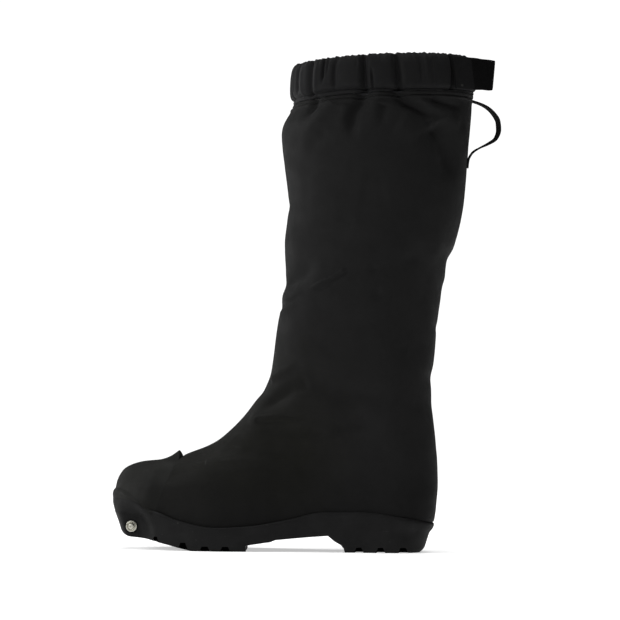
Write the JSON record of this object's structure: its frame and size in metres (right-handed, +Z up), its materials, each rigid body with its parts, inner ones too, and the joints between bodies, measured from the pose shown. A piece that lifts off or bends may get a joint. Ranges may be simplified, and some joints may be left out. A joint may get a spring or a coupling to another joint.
{
  "type": "cross-country ski boot",
  "caption": "Left cross-country ski boot with a knee-high gaiter shaft, a gathered collar with a closure strap, a lugged rubber sole and steel binding pins at the toe",
  "frame": {"origin": "On the floor under the middle of the boot's bounding box.", "axes": "+Z is up, the toe points to -X and the heel to +X. The outer side of the foot faces -Y and the inner side +Y."},
  "size_m": [0.3657, 0.125, 0.4632],
  "materials": {
    "sole_rubber": "matt moulded rubber",
    "toe_rubber": "matt moulded rubber",
    "gaiter_fabric": "smooth tight weave with a faint sheen",
    "webbing": "matt woven webbing",
    "insole_felt": "felt",
    "pin_steel": "turned steel"
  },
  "bodies": {
    "root": {"sole": "sole_rubber", "upper": "gaiter_fabric", "toe_cap": "toe_rubber", "collar": "gaiter_fabric", "closure_strap": "webbing", "pull_loop": "webbing", "insole": "insole_felt", "binding_pin_lateral": "pin_steel", "binding_pin_medial": "pin_steel"}
  },
  "joints": []
}
